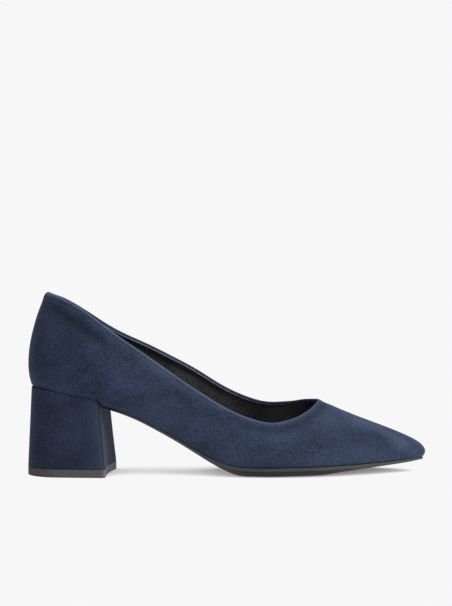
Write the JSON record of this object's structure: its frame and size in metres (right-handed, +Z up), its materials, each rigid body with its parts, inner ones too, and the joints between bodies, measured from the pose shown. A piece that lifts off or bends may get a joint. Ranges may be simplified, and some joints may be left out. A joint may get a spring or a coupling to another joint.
{
  "type": "block-heel pump",
  "caption": "Pointed slip-on suede pump for the right foot, with a low-cut topline, a thin outsole and a flared, suede-covered block heel.",
  "frame": {"origin": "on the floor, under the middle of the shoe's length and width", "axes": "+X towards the toe, +Y to the inner side of the foot, +Z up"},
  "size_m": [0.2506, 0.0742, 0.1139],
  "materials": {
    "suede": "navy suede with a short, soft nap",
    "sock": "smooth black lining leather",
    "sole": "satin dark grey, edge trimmed",
    "heel_cover": "navy suede, glued over the heel block",
    "lift": "matte dark grey"
  },
  "bodies": {
    "root": {"upper": "suede", "insole": "sock", "outsole": "sole", "heel": "heel_cover", "top_lift": "lift"}
  },
  "joints": []
}
